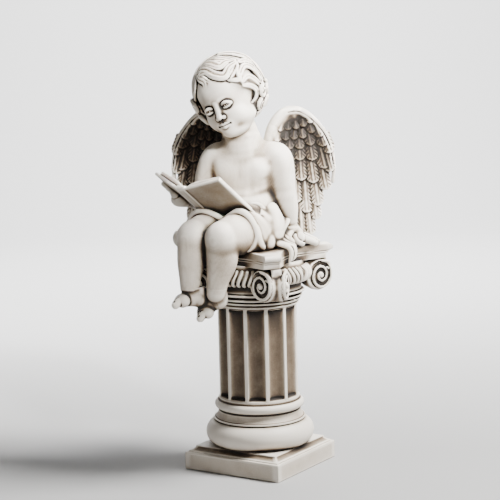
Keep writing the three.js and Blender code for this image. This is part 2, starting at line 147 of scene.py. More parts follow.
class Clay:
    # How far each point of a block of clay lies outside the surface.
    def __init__(self, axes):
        self.axes = axes
        self.field = np.full([len(axis) for axis in axes], far, np.float32)

    def near(self, points, reach):
        low = np.min(points, axis=0) - reach
        high = np.max(points, axis=0) + reach
        ends = [np.searchsorted(axis, pair) for axis, pair in zip(self.axes, zip(low, high))]
        return tuple(slice(start, stop) for start, stop in ends)

    def block(self, cuts):
        return Clay([axis[cut] for axis, cut in zip(self.axes, cuts)])

    def grid(self):
        x, y, z = self.axes
        return x[:, None, None], y[None, :, None], z[None, None, :]

    def mix(self, cuts, shape, soft, dig):
        here = self.field[cuts]
        if here.size == 0:
            return
        if dig:
            overlap = np.maximum(soft - np.abs(here + shape), 0)
            self.field[cuts] = np.maximum(here, -shape) + overlap**2 / (4 * soft)
        else:
            overlap = np.maximum(soft - np.abs(here - shape), 0)
            self.field[cuts] = np.minimum(here, shape) - overlap**2 / (4 * soft)

    def fill(self, shape, soft):
        self.mix(wholeBlock, shape, soft, False)

    def ball(self, centre, radii, soft=2.0, turn=None, dig=False):
        radii = np.broadcast_to(np.array(radii, float), 3)
        cuts = self.near([centre], radii.max() + soft + 3)
        part = self.block(cuts)
        if part.field.size == 0:
            return
        offsets = [axis - middle for axis, middle in zip(part.grid(), centre)]
        if turn is not None:
            offsets = [sum(offset * share for offset, share in zip(offsets, axis)) for axis in turn]
        near = np.sqrt(sum((offset / radius) ** 2 for offset, radius in zip(offsets, radii)))
        steep = np.sqrt(sum((offset / radius**2) ** 2 for offset, radius in zip(offsets, radii)))
        self.mix(cuts, near * (near - 1) / np.maximum(steep, 1e-6), soft, dig)

    def rope(self, points, soft=2.0, dig=False, steps=None):
        rows = np.array(points, float)
        if steps is None:
            longest = np.linalg.norm(np.diff(rows[:, :3], axis=0), axis=1).max()
            steps = max(3, int(longest / max(2.0, 0.14 * rows[:, 3].max())))
        path = curveThrough(rows, steps)
        cuts = self.near(path[:, :3], path[:, 3].max() + soft + 3)
        part = self.block(cuts)
        if part.field.size == 0:
            return
        for start, end in zip(path[:-1], path[1:]):
            inner = part.near([start[:3], end[:3]], max(start[3], end[3]) + soft + 3)
            small = part.block(inner)
            if small.field.size == 0:
                continue
            along = end[:3] - start[:3]
            length = max(along @ along, 1e-9)
            offsets = [axis - place for axis, place in zip(small.grid(), start)]
            share = np.clip(sum(o * a for o, a in zip(offsets, along)) / length, 0, 1)
            away = np.sqrt(sum((o - share * a) ** 2 for o, a in zip(offsets, along)))
            shape = away - start[3] - share * (end[3] - start[3])
            part.field[inner] = np.minimum(part.field[inner], shape)
        self.mix(cuts, part.field, soft, dig)

    def cut(self, point, normal, soft=0.5):
        # Take off what lies on the side that the normal points to.
        normal = unit(normal)
        away = sum((axis - place) * share for axis, place, share in zip(self.grid(), point, normal))
        self.mix(wholeBlock, np.broadcast_to(-away, self.field.shape), soft, True)

    def skin(self, name, node, place=None):
        grid = openvdb.FloatGrid(far)
        grid.copyFromArray(np.clip(self.field, -far, far))
        points, triangles, quads = grid.convertToPolygons(0.0, 0.0)
        cell = self.axes[0][1] - self.axes[0][0]
        points = points * cell + [axis[0] for axis in self.axes]
        if place is not None:
            points = moved(points, place)
            if np.linalg.det(place[:3, :3]) < 0:
                triangles, quads = triangles[:, ::-1], quads[:, ::-1]
        return addPiece(name, points, triangles.tolist() + quads.tolist(), node)


def clayBlock(low, high, cell):
    return Clay([np.arange(start, stop, cell) for start, stop in zip(low, high)])


# The head, in its own frame: left, back and up from the middle of the skull.

skull = {
    "cell": 1.2,
    "place": frameOf(
        (-23, -37, 642),
        ((0.942, 0.011, 0.335), (-0.085, 0.974, 0.208), (-0.324, -0.224, 0.919)),
    ),
    "hairCentre": np.array((0, 8, 8.0)),
    "hairRadii": np.array((56, 60.5, 58.5)),
}


def onHair(around, up, lift=0.0):
    # A place on the hair by two angles: round from the brow to the left, and up.
    around, up = math.radians(around), math.radians(up)
    way = np.array((math.sin(around) * math.cos(up), -math.cos(around) * math.cos(up), math.sin(up)))
    return skull["hairCentre"] + (skull["hairRadii"] + lift) * way


def lock(clay, guide, width, strands=3, lift=0.0, soft=0.9):
    # A lock of hair: strands side by side that spread from the root and close at the tip.
    middle = curveThrough([onHair(*angles, lift) for angles in guide], 5)
    outward = np.array([unit(point - skull["hairCentre"]) for point in middle])
    along = np.gradient(middle, axis=0)
    sideways = np.cross(outward, along)
    sideways /= np.linalg.norm(sideways, axis=1)[:, None]
    share = np.linspace(0, 1, len(middle))
    spread = np.sin(np.pi * (share * 0.82 + 0.12)) ** 0.7
    for strand in range(strands):
        offset = (strand - (strands - 1) / 2) / strands
        radius = width / strands * 0.66 * (0.55 + 0.55 * spread) * (1 - 0.5 * share**3)
        sink = 3 * offset**2 + 2.5 * share**5 + 0.8 * (strand % 2)
        path = middle + sideways * (offset * width * spread)[:, None] - outward * sink[:, None]
        clay.rope(np.column_stack([path, radius]), soft, steps=1)


def curl(clay, around, up, size, turn, hand, lift=1.5):
    # A ring of hair that winds in to its middle.
    centre = onHair(around, up, lift)
    outward = unit(centre - skull["hairCentre"])
    first = unit(np.cross((0, 0, 1.0), outward))
    second = np.cross(outward, first)
    path = []
    for share in np.linspace(0, 1, 14):
        angle = math.radians(turn) + hand * share * 2.4 * math.pi
        reach = size * (1 - 0.8 * share)
        point = centre + (first * math.cos(angle) + second * math.sin(angle)) * reach
        path.append((*(point + outward * (3 * share - 1)), size * (0.38 - 0.14 * share)))
    clay.rope(path, 0.6, steps=1)
    clay.ball(centre + outward * (size * 0.45), size * 0.36, 0.6, dig=True)


def eye(clay, side):
    centre = np.array((side * 17.5, -42, -11))

    def onEye(across, up, reach):
        across, up = math.radians(across), math.radians(up)
        level = math.cos(up)
        way = np.array((side * math.sin(across) * level, -math.cos(across) * level, math.sin(up)))
        return centre + way * reach

    clay.ball(centre - (0, 12.5, 0), (11, 6.5, 6.5), 8, dig=True)
    clay.ball(centre, 9.6, 0.8)
    upper = ((-68, -8), (-38, 14), (-5, 22), (32, 15), (66, -6))
    lower = ((-68, -8), (-36, -21), (0, -27), (34, -20), (66, -4))
    clay.rope([(*onEye(*angles, 10), 2) for angles in upper], 0.8)
    clay.rope([(*onEye(across, up + 9, 9.8), 2) for across, up in upper], 1.2)
    clay.rope([(*onEye(*angles, 10), 1.4) for angles in lower], 0.7)
    clay.rope([(*onEye(across, up + 24, 11.8), 0.5) for across, up in upper[1:]], 2.2, dig=True)
    gaze = [(4 + 23 * math.sin(a), -8 + 23 * math.cos(a)) for a in np.linspace(0, 2 * math.pi, 13)]
    clay.rope([(*onEye(*angles, 10), 0.5) for angles in gaze], 0.4, dig=True, steps=2)
    clay.ball(onEye(4, -6, 10), 1.5, 0.6, dig=True)


def face(clay):
    clay.ball((0, 6, 6), (50, 56, 52), 4)
    clay.ball((0, -12, -16), (42, 41, 45), 8)
    clay.ball((0, -24, 18), (38, 29, 32), 10)
    clay.ball((0, -22, -56), (25, 24, 13), 9)
    clay.ball((0, -41, -54), (11, 9, 9), 8)
    for side in (-1, 1):
        clay.ball((side * 19, -31, -31), (18, 16.5, 17), 10)
        clay.ball((side * 22, -12, -38), (17, 22, 17), 10)
    clay.ball((0, -42, -41), (17, 10, 13), 10)
    clay.field = blurred(clay.field, 3)
    for side in (-1, 1):
        eye(clay, side)
    clay.rope([(0, -48, -4, 3.6), (0, -51.5, -15, 4), (0, -55, -24, 4.6)], 5)
    clay.ball((0, -56, -26.5), (5.4, 4.8, 4.8), 2)
    for side in (-1, 1):
        clay.ball((side * 6, -52.5, -28.5), (3.8, 4.2, 3.4), 1.6)
        clay.ball((side * 2.8, -55.5, -31), (1.7, 2.2, 1.5), 0.7, dig=True)
        clay.ball((side * 11.5, -50, -42), (1.2, 1.6, 1.1), 2.4, dig=True)
    clay.rope([(-10.5, -48.5, -41.8, 1.1), (-4.5, -52, -39.8, 2.3), (0, -52.5, -40.6, 2),
               (4.5, -52, -39.8, 2.3), (10.5, -48.5, -41.8, 1.1)], 1.2)
    clay.rope([(-8, -49.5, -43.4, 1.4), (0, -52, -45.2, 3), (8, -49.5, -43.4, 1.4)], 1.4)
    clay.rope([(-11, -49.5, -41.8, 0.8), (-4.5, -54, -42, 0.9), (0, -54.5, -42.8, 0.9), (4.5, -54, -42, 0.9),
               (11, -49.5, -41.8, 0.8)], 0.7, dig=True)
    clay.rope([(0, -53, -33, 1), (0, -53.6, -37, 1.1)], 1.4, dig=True)


def hair(clay):
    clay.ball((0, 13, 14), (53, 56, 54), 2)
    clay.ball((0, 18, -14), (43, 41, 36), 8)
    for side in (-1, 1):
        clay.ball((side * 40, 14, -24), (12, 18, 19), 6)
    # Crown and back: long locks that fall from the crown and wave to the nape.
    for step in range(12):
        around = 104 + step * 17
        lift = 3 if step % 2 else 1.5
        lock(clay, [(around - 12, 80), (around, 58), (around + 8, 36), (around - 4, 14), (around + 7, -8),
                    (around - 4, -30), (around + 5, -50), (around, -64)], 19, 4, lift)
    for guide, width, strands, lift in (
        ([(76, 42), (50, 62), (0, 78), (-57, 66), (-62, 46), (-58, 26)], 18, 5, 0),
        ([(74, 40), (54, 46), (36, 44), (18, 56), (-12, 64), (-50, 54), (-56, 36)], 15, 4, 2),
        ([(70, 35), (51, 32), (36, 23), (20, 31), (4, 44), (-18, 50), (-36, 44), (-44, 30)], 14, 4, 4),
        ([(16, 34), (-2, 43), (-17, 41), (-3, 33), (12, 20)], 9, 3, 4),
        ([(-30, 42), (-14, 34), (-4, 26), (-6, 13)], 9, 3, 3),
        ([(-40, 40), (-34, 28), (-44, 16), (-56, 4), (-52, -8)], 11, 3, 3),
        ([(-56, 40), (-58, 20), (-66, 2), (-60, -16), (-46, -26)], 12, 3, 3),
        ([(66, 32), (51, 22), (38, 15)], 8, 3, 4),
        ([(68, 30), (59, 18), (56, 9), (46, 11), (38, 15)], 7, 2, 4),
        ([(75, 34), (92, 31), (101, 21), (92, 8)], 10, 3, 4),
        ([(60, 14), (76, 24), (90, 18), (98, 2), (104, -16)], 10, 3, 4),
        ([(57, 3), (72, 7), (84, -4), (95, -18), (90, -30)], 9, 3, 4),
        ([(57, -2), (70, -8), (80, -18), (77, -29), (64, -38)], 8, 3, 3),
        ([(98, 56), (112, 38), (118, 18), (114, -4), (118, -24)], 16, 4, 2),
    ):
        lock(clay, guide, width, strands, lift)
    for around, up, size, turn, hand, lift in (
        (96, -24, 11, 90, 1, 5), (112, -20, 11, 60, -1, 6), (94, -44, 11, 120, 1, 4),
        (112, -42, 12, 200, -1, 7), (104, -62, 11, 30, 1, 4), (130, -38, 11, 90, -1, 4),
        (128, -62, 11, 150, -1, 3), (148, -50, 11, 90, 1, 2), (168, -60, 11, 60, -1, 2),
        (188, -48, 11, 120, 1, 2), (208, -60, 11, 60, 1, 2), (-60, -4, 12, 90, -1, 7),
        (-62, -24, 13, 200, 1, 8), (-84, -14, 12, 30, -1, 8), (-70, -44, 13, 90, 1, 8),
        (-94, -36, 12, 150, -1, 7), (-96, -62, 11, 60, 1, 3), (-116, -48, 11, 200, -1, 3),
        (-136, -60, 11, 90, 1, 2),
    ):
        curl(clay, around, up, size, turn, hand, lift)


def makeHead():
    clay = clayBlock((-76, -74, -84), (76, 84, 84), skull["cell"])
    face(clay)
    hair(clay)
    clay.skin("head", "cherub_figure", skull["place"])


makeHead()
print("head made")


# The body: trunk, arms and legs in one skin, with finer feet and hands of their own.

trunk = {
    "cell": 1.75,
    "limbCell": 1.1,  # feet and hands are cut finer
    "left": np.array((0.94, 0.342, 0)),
    "back": np.array((-0.342, 0.94, 0)),
    "centre": np.array((-9.5, -14, 0)),
    "ankle": 327,
    # how dark the painted shade on the shins and feet is
    "legPaintedShade": 0.15,
}
trunkTurn = (trunk["left"], trunk["back"], (0, 0, 1))


def onTrunk(left, back, up):
    return trunk["centre"] + trunk["left"] * left + trunk["back"] * back + np.array((0, 0, up))


def arms(clay):
    clay.rope([(8, 4, 532, 24), (41, 9, 536, 23), (49, 11, 508, 22), (52, 14, 474, 18)], 16)
    clay.rope([(52, 14, 474, 19), (53, 18, 448, 19.5), (52, 24, 413, 14)], 3)
    clay.rope([(-24, -18, 532, 24), (-57, -27, 536, 23), (-74, -28, 507, 22), (-86, -26, 474, 18)], 16)
    clay.rope([(-86, -26, 474, 19), (-91, -48, 468, 18.5), (-94, -70, 466, 13.5)], 3)


def legs(clay):
    clay.rope([(20, -14, 412, 38), (14, -70, 412, 36), (10, -112, 409, 29)], 6)
    clay.ball((10, -122, 408), (24, 21, 25), 8)
    clay.rope([(9, -116, 409, 27), (4, -110, 372, 26), (-2, -114, 340, 19), (-6, -116, 316, 16)], 4)
    clay.rope([(-42, -22, 412, 38), (-44, -70, 412, 36), (-46, -114, 409, 29)], 6)
    clay.ball((-46, -122, 410), (24, 20, 25), 8)
    clay.rope([(-46, -119, 409, 27), (-48, -123, 372, 24.5), (-47, -130, 345, 19), (-47, -131, 326, 17)], 4)


def torso(clay):
    for left, back, up, radii, soft in (
        (0, 2, 412, (56, 44, 38), 6), (1, -4, 454, (51, 43, 40), 14), (1, 0, 503, (50, 36, 44), 14),
        (-20, -19, 518, (25, 13, 19), 12), (20, -19, 518, (25, 13, 19), 12),
        (-22, 22, 520, (20, 14, 24), 8), (22, 22, 520, (20, 14, 24), 8),
        (0, -24, 440, (32, 24, 22), 8),
    ):
        clay.ball(onTrunk(left, back, up), radii, soft, trunkTurn)
    clay.rope([(-10, -13, 545, 34), (-12, -18, 572, 30), (-17, -27, 600, 29)], 8)
    # Creases: under the breast, across the belly, the middle line and the arm pits.
    clay.rope([(*onTrunk(-44, -22, 478), 1.6), (*onTrunk(-20, -42, 474), 1.8), (*onTrunk(18, -43, 475), 1.8),
               (*onTrunk(46, -20, 480), 1.4)], 7, dig=True)
    for side in (-1, 1):
        clay.rope([(*onTrunk(side * 42, -26, 502), 0.6), (*onTrunk(side * 26, -39, 496), 0.9),
                   (*onTrunk(side * 8, -41, 499), 0.6)], 5, dig=True)
    breast = ((-38, 534, 0.5), (-40, 505, 0.6), (-46, 478, 0.4))
    spine = ((38, 560, 1), (40, 505, 2.4), (46, 440, 1.4))
    for crease, soft in ((breast, 6), (spine, 8)):
        clay.rope([(*onTrunk(0, back, up), radius) for back, up, radius in crease], soft, dig=True)
    clay.ball(onTrunk(0, -49, 452), (2.4, 4, 2.8), 2.5, trunkTurn, dig=True)


def makeBody():
    clay = clayBlock((-118, -160, 322), (92, 52, 606), trunk["cell"])
    torso(clay)
    arms(clay)
    legs(clay)
    # The neck's slit and the left wrist's fold.
    for fold, soft in (
        ([(-38, -32, 570, 1), (-24, -48, 566, 1.5), (2, -46, 566, 1.2), (18, -30, 572, 0.8)], 1.6),
        ([(36, 20, 422, 0.3), (46, 11, 420, 0.7), (60, 13, 420, 0.7), (67, 26, 422, 0.3)], 2.5),
    ):
        clay.rope(fold, soft, dig=True)
    clay.field = blurred(clay.field, 1)
    paintShinShade(clay.skin("body", "cherub_figure"))


def paintShinShade(piece):
    # Painted shade: the shins and the feet, low and forward of the trunk, are darker than the knees.
    points, _ = meshArrays(piece)
    below = np.clip((440 - points[:, 2]) / 50, 0, 1)
    before = np.clip((-60 - points[:, 1]) / 20, 0, 1)
    layPatinaAndShade(piece, trunk["legPaintedShade"] * below * before)


def makeFeet():
    # Each toe: how far across the foot, how long, how thick.
    toes = ((13, 16, 6.6), (4, 14, 4.8), (-3.6, 12.5, 4.4), (-10.5, 10.5, 4.2), (-17, 7.5, 4.2))
    clay = clayBlock((-90, -186, 270), (26, -86, 332), trunk["limbCell"])
    legs(clay)
    clay.field = blurred(clay.field, 2)
    for heel, middle, ball, front, side in (
        ((-7, -106, 303), (-16, -110, 300), (-26, -117, 287), (-36, -126, 279), (0.62, -0.4, -0.2)),
        ((-35, -122, 306), (-43, -134, 309), (-52, -149, 306), (-60, -160, 301), (0.78, -0.5, 0.1)),
    ):
        clay.rope([(*heel, 14.5), (*middle, 13), (*ball, 11.5)], 5)
        clay.rope([(*(np.array(heel) + (0, 0, 10)), 14), (*middle, 13)], 5)
        ball = np.array(ball, float)
        along = unit(front - ball)
        across = unit(np.array(side) - along * (np.array(side) @ along))
        top = unit(np.cross(across, along))
        top = top if top[2] > 0 else -top
        clay.rope([(*(ball - across * 10), 9.5), (*(ball + across * 10), 10)], 4)
        for offset, reach, size in toes:
            start = ball + across * offset * 0.8 - along * 2
            end = ball + across * offset * 0.92 + along * reach
            knuckle = (start + end) / 2 + top * 2.4
            clay.rope([(*start, size + 1), (*knuckle, size), (*end, size)], 0.9)
            clay.ball(end + top * (size - 0.4) + along * 1.5, (size * 0.62, size * 0.62, 1.4), 0.5,
                      (across, along, top), dig=True)
    clay.cut((0, 0, trunk["ankle"]), (0, 0, 1))
    paintShinShade(clay.skin("feet", "cherub_figure"))


def makeHands():
    left = clayBlock((28, 0, 376), (104, 84, 424), trunk["limbCell"])
    arms(left)
    left.rope([(52, 25, 413, 14), (56, 30, 405, 15), (60, 36, 398, 14)], 5)
    left.rope([(50, 38, 398, 10), (72, 28, 396, 10)], 6)
    for start, knuckle, tip, size in (
        ((54, 46, 396), (58, 58, 393), (64, 70, 387.5), 5.6),
        ((60, 44, 398), (69, 57, 394), (78, 68, 387), 6),
        ((67, 38, 398), (78, 49, 393), (88, 58, 387), 6.2),
        ((72, 30, 397), (83, 38, 392), (93, 44, 387), 6),
        ((66, 22, 398), (72, 20, 391), (78, 24, 387), 5.4),
    ):
        left.rope([(*start, size + 2), (*knuckle, size + 0.6), (*tip, size - 0.4)], 0.8)
        nail = np.array(tip) + unit(np.subtract(tip, knuckle)) * 2.4 + (0, 0, size - 0.9)
        left.ball(nail, (2.8, 2.8, 1.2), 0.5, dig=True)
    left.cut((0, 0, 417), (0, 0, 1))
    left.skin("left_hand", "cherub_figure")
    right = clayBlock((-146, -112, 440), (-70, -44, 512), trunk["limbCell"])
    arms(right)
    right.ball((-98, -82, 467), (15, 16, 13), 6)
    normal = np.array((-0.47, -0.49, -0.735))
    edge = np.array((0.149, 0.775, -0.615))
    for place, size in ((29, 5.6), (40.5, 5.9), (51.5, 5.8), (61.5, 5.2)):
        tip = np.array((-131, -101, 515)) + edge * place + normal * 6.5
        knuckle = tip + np.array((17, 1, -5.5)) + normal * 4
        palm = np.array((-98, -86, 470)) + edge * (place - 44) * 0.5
        right.rope([(*palm, size + 2.5), (*knuckle, size + 0.8), (*tip, size)], 1)
    right.rope([(-94, -66, 464, 9), (-104, -58, 470, 8), (-112, -62, 480, 6.5)], 1.5)
    right.cut((0, -66, 0), (0, 1, 0))
    right.skin("right_hand", "cherub_figure")


makeBody()
makeFeet()
makeHands()
print("body made")


# The cloth round the hips, with a rolled hem, a knot at the left hip and ends that trail over the seat.

cloth = {
    "cell": 1.5,
    "seat": 382.2,  # it rests here, just clear of the slab
    "seatEdge": 80,  # and hangs beyond this
    "wraps": ((439, 4.5), (430, 3.2), (421, 3.6), (411, 3.2), (401, 3.6), (392, 3.2)),  # height, thickness
}


def makeCloth():
    clay = clayBlock((-122, -112, 350), (106, 62, 470), cloth["cell"])
    clay.rope([(20, -10, 412, 42), (14, -74, 412, 39)], 4)
    clay.rope([(-42, -18, 412, 42), (-45, -84, 412, 38)], 4)
    clay.ball(onTrunk(0, 6, 410), (60, 50, 40), 6, trunkTurn)
    # Folds gather towards the knot and sag across the lap.
    for path in (
        [(-74, -70, 424, 5), (-44, -78, 440, 7), (-16, -70, 432, 5)],
        [(-84, -36, 420, 5), (-50, -48, 446, 7), (-18, -56, 438, 5)],
        [(-16, -58, 440, 5), (12, -62, 446, 7), (38, -56, 436, 6), (50, -44, 414, 4)],
        [(0, -40, 446, 5), (24, -40, 449, 7), (46, -34, 434, 6)],
        [(56, 22, 436, 5), (60, 2, 424, 7), (56, -20, 408, 5)],
        [(38, 44, 428, 5), (58, 28, 412, 7), (62, 0, 398, 5)],
        [(-60, 30, 436, 5), (-78, 10, 418, 7), (-78, -20, 402, 5)],
        [(-30, 44, 440, 5), (-62, 32, 416, 7), (-84, 0, 398, 5)],
    ):
        clay.rope(path, 7, steps=6)
    # The wrap round the back: a rolled waist and folds that sag from hip to hip.
    for order, (height, thick) in enumerate(cloth["wraps"]):
        path = []
        for angle in np.radians(np.linspace(-100, 100, 11)):
            up = height - (6 + 2 * (order % 2)) * math.cos(angle) * min(order, 1)
            girth = math.sqrt(1 - ((up - 410) / 40) ** 2)
            place = onTrunk(59 * girth * math.sin(angle), 6 + 49 * girth * math.cos(angle), up)
            path.append((*place, thick))
        clay.rope(path, 3)
    for path in (
        [(-70, -60, 440, 1), (-44, -64, 455, 1.6), (-16, -62, 446, 1)],
        [(-10, -52, 452, 1), (16, -52, 457, 1.8), (44, -46, 440, 1)],
        [(58, 16, 430, 1), (64, 0, 412, 2), (60, -14, 398, 1)],
        [(44, 40, 416, 1), (64, 18, 400, 2), (66, -4, 388, 1)],
        [(-70, 26, 428, 1), (-86, 4, 406, 2), (-86, -20, 390, 1)],
    ):
        clay.rope(path, 5, dig=True)
    clay.cut((0, -83, 412), (0.08, -1, 0.05))
    # The hem: one thick roll over both thighs that overhangs the flesh.
    hem = [(-86, -70, 396, 5), (-84, -78, 422, 6), (-66, -86, 443, 6.5), (-44, -88, 449, 6.5),
           (-22, -84, 441, 6), (-8, -80, 433, 6), (6, -79, 444, 6.5), (20, -78, 450, 7),
           (36, -76, 442, 7), (48, -74, 422, 6.5), (51, -68, 402, 6), (50, -56, 388, 5.5)]
    clay.rope(hem, 3)
    clay.rope([(x, y + 2.5, z + 7, 1) for x, y, z, _ in hem[1:-2]], 2.5, dig=True)
    clay.ball((-8, -92, 424), (12, 9, 12), 4, dig=True)
    # The side of the cloth stands off the left hip: a cup with a thick rim.
    clay.rope([(40, -14, 446, 15), (48, -16, 428, 17), (54, -22, 408, 14)], 6)
    clay.ball((30, -45, 447), (8, 9, 11), 2.5, dig=True)
    clay.rope([(12, -50, 458, 3.5), (27, -44, 461, 3.6), (35, -36, 457, 4), (38, -30, 448, 4.2),
               (39, -34, 438, 4.4), (38, -42, 426, 4.6), (36, -50, 412, 5), (35, -54, 396, 5)], 1.6)
    clay.ball((30, -58, 420), (5, 6, 8), 2, dig=True)
    # The knot and its ends, which trail over the seat and hang past its edge.
    clay.ball((49, -38, 398), (13, 12, 18), 1.5)
    for path in (
        [(46, -28, 414, 6), (54, -14, 409, 6), (60, 0, 401, 5.5), (66, 12, 392, 5), (68, 24, 384, 4)],
        [(52, -26, 406, 5.5), (60, -16, 398, 6), (68, -6, 390, 6), (76, 2, 386, 5)],
        [(54, -28, 398, 6), (64, -22, 391, 7), (74, -14, 387, 7), (82, -8, 385, 5)],
        [(70, -20, 386, 5), (80, -22, 385, 5), (86, -24, 379, 4.4), (86, -26, 368, 4), (83, -28, 360, 2.6)],
        [(78, -8, 385, 5), (86, -12, 381, 4.6), (88, -16, 370, 3.6), (84, -20, 362, 2.4)],
    ):
        clay.rope(path, 2.2)
    for path in (
        [(50, -20, 416, 1), (58, -6, 408, 1.5), (66, 6, 398, 1)],
        [(56, -18, 407, 1), (66, -8, 398, 1.5), (74, 2, 391, 1)],
        [(62, -24, 399, 1), (72, -16, 394, 1.5), (80, -10, 389, 1)],
        [(40, -46, 408, 1), (37, -50, 398, 1.6), (40, -50, 388, 1)],
    ):
        clay.rope(path, 1, dig=True)
    clay.ball((-100, -78, 400), (15, 16, 17), 3)
    clay.rope([(-60, -66, 404, 14), (-92, -76, 398, 11)], 4)
    clay.rope([(-84, -78, 424, 5), (-96, -72, 420, 6), (-104, -60, 404, 5)], 2)
    # Rest it on the seat, all but the ends that hang past the edge.
    x, y, z = clay.grid()
    seat = np.minimum(cloth["seat"] - z, cloth["seatEdge"] - x) + 0 * y
    clay.mix(wholeBlock, -seat, 0.5, True)
    clay.field = blurred(clay.field, 1)
    clay.skin("cloth", "cherub_figure")


makeCloth()
print("cloth made")


# The open book, each half in its own frame: across the cover, along the spine, up from the cover.

book = {
    "cell": 1.05,
    "backCell": 1.1,
    "hinge": (-34, -51, 430),
    "farHinge": (-54, -47, 430),
    "spine": (-0.150, -0.777, 0.612),
    "leaf": 2.1,  # from one groove of the page edges to the next
}


def makeBookHalf(name, hinge, across, inward):
    spine = unit(book["spine"])
    across = unit(across)
    up = unit(np.cross(across, spine))
    up = up if up @ np.array(inward) > 0 else -up
    clay = clayBlock((-14, -5, -10), (78, 112, 20), book["cell"])
    a, s, h = clay.grid()

    def block(low, high, rounding, grooves=0.0):
        inset = grooves * (0.5 + 0.5 * np.cos(2 * np.pi * h / book["leaf"]))
        gaps = [np.maximum(first - axis, axis - last) + rounding
                for axis, first, last in zip((a, s, h), low, high)]
        gaps[0] = gaps[0] + inset
        gaps[1] = gaps[1] + inset
        outside = np.sqrt(sum(np.maximum(gap, 0) ** 2 for gap in gaps))
        inside = np.minimum(np.maximum(np.maximum(gaps[0], gaps[1]), gaps[2]), 0)
        return outside + inside - rounding

    cover = block((-3, 0, -5), (71, 106, 0), 1.5)
    arch = 9.5 * (1 - np.exp(-np.maximum(a + 4, 0) / 6)) - 0.0012 * np.maximum(a - 20, 0) ** 2
    pages = np.maximum(block((-9, 4, -3), (66, 101, 18), 1, 0.7), h - arch)
    clay.fill(cover, 0.4)
    clay.fill(pages, 0.4)
    clay.rope([(-3, 2, -2.5, 3.2), (-3, 104, -2.5, 3.2)], 1)
    clay.skin(name, "cherub_figure", frameOf(hinge, (across, spine, up)))


makeBookHalf("book_right", book["hinge"], (69, 0, 17), (0, 0.6, 0.8))
makeBookHalf("book_left", book["farHinge"], (-62, 28, 20), (0, 0.6, 0.8))


def makeBookBack():
    clay = clayBlock((-30, -8, -14), (30, 114, 12), book["backCell"])
    spine = unit(book["spine"])
    across = unit((20, -4, 0))
    up = unit(np.cross(across, spine))
    up = up if up[2] > 0 else -up
    for offset in np.linspace(-8, 8, 7):
        sag = -1.6 - 0.02 * (64 - offset**2)
        clay.rope([(offset, 3, sag, 4), (offset, 103, sag, 4)], 1.5)
    clay.skin("book_back", "cherub_figure", frameOf((-44, -49, 430), (across, spine, up)))


makeBookBack()
print("book made")


# The wings: feathers laid like slates on a thin plate, then cupped. Outward, up, and towards the front.

feathers = {
    "cell": 1.25,
    "faceRelief": 1.0,
    "backRelief": 0.45,
    "patina": 0.72,
    "thinPatina": 0.07,
    "rows": (
        ((40, -134, 64), (54, -150, 72), (69, -148, 70), (80, -122, 60)),
        ((30, -96, 50), (46, -92, 56), (64, -110, 64), (84, -98, 62), (98, -72, 58), (106, -40, 52)),
        ((36, -42, 40), (56, -54, 44), (77, -59, 46), (97, -34, 44), (106, -8, 38)),
        ((30, -20, 30), (36, -22, 32), (54, -19, 32), (76, -20, 34), (96, 4, 32)),
        ((18, 0, 20), (36, 0, 22), (54, 0, 22), (73, 6, 24), (89, 20, 22)),
        ((14, 15, 16), (29, 16, 17), (44, 17, 18), (60, 18, 18), (76, 27, 18)),
        ((20, 32, 14), (34, 33, 15), (48, 34, 15), (62, 38, 14), (74, 44, 12)),
    ),
    "widths": (22, 24, 24.5, 24, 20, 18, 16),
    "root": (46, 92),
    "plate": [(-8, -34), (2, 16), (9, 38), (21, 56), (37, 66), (58, 64), (79, 49), (97, 26),
              (106, -4), (104, -36), (86, -88), (70, -130), (46, -130), (28, -88), (14, -60)],
    "rim": [(-18, -26, -6, 13), (-6, -8, -2, 12), (2, 16, 0, 10.5), (9, 38, 0, 10.5), (21, 56, 1, 10),
            (37, 66, 2, 8.5), (58, 64, 1, 7.5), (79, 49, 1, 6), (97, 26, 0, 5), (108, -4, 0, 4.2),
            (112, -34, 0, 3.4), (110, -58, 0, 2.6)],
}


def featherHeights(u, v, relief):
    height = np.full((len(u), len(v)), -30.0)
    across, upward = u[:, None], v[None, :]
    for row, width in zip(feathers["rows"], feathers["widths"]):
        half = width / 2
        for order, (tipU, tipV, length) in enumerate(row):
            way = unit(np.array(feathers["root"]) - (tipU, tipV)) * (0.5, 1)
            way = unit(way)
            back = (across - tipU) * way[0] + (upward - tipV) * way[1]
            side = (across - tipU) * way[1] - (upward - tipV) * way[0]
            nearTip = np.clip(1 - back / (half * 1.15), 0, 1)
            narrowing = 1 - 0.12 * np.clip(back / length, 0, 1)
            reach = half * np.sqrt(np.maximum(1 - nearTip**2, 0.0001)) * narrowing
            rise = relief * 5.0 * (1 - back / length)
            fall = relief * 2.6 * (side / half) ** 2
            blade = 2.2 + rise - fall + order * 0.05
            blade = blade + relief * 0.7 * np.exp(-((side / 1.6) ** 2))  # the quill
            slant = back + np.abs(side) * 1.2 + order * 2.3
            barbs = np.clip(np.sin(2 * np.pi * slant / 6.4) - 0.5, 0, 1)
            blade = blade - relief * 3.2 * barbs * np.clip((np.abs(side) / half - 0.4) * 4, 0, 1)
            inside = (np.abs(side) < reach) & (back > 0) & (back < length)
            height = np.where(inside, np.maximum(height, blade), height)
    return height


def plateUnder(u, v, corners):
    # Where the wing's plate lies, by counting the edges crossed on the way out.
    across, upward = u[:, None], v[None, :]
    inside = np.zeros((len(u), len(v)), bool)
    for (startU, startV), (endU, endV) in zip(corners, corners[1:] + corners[:1]):
        spans = (startV > upward) != (endV > upward)
        inside ^= spans & (across < (endU - startU) * (upward - startV) / (endV - startV) + startU)
    return np.where(inside, 1.6, -30)


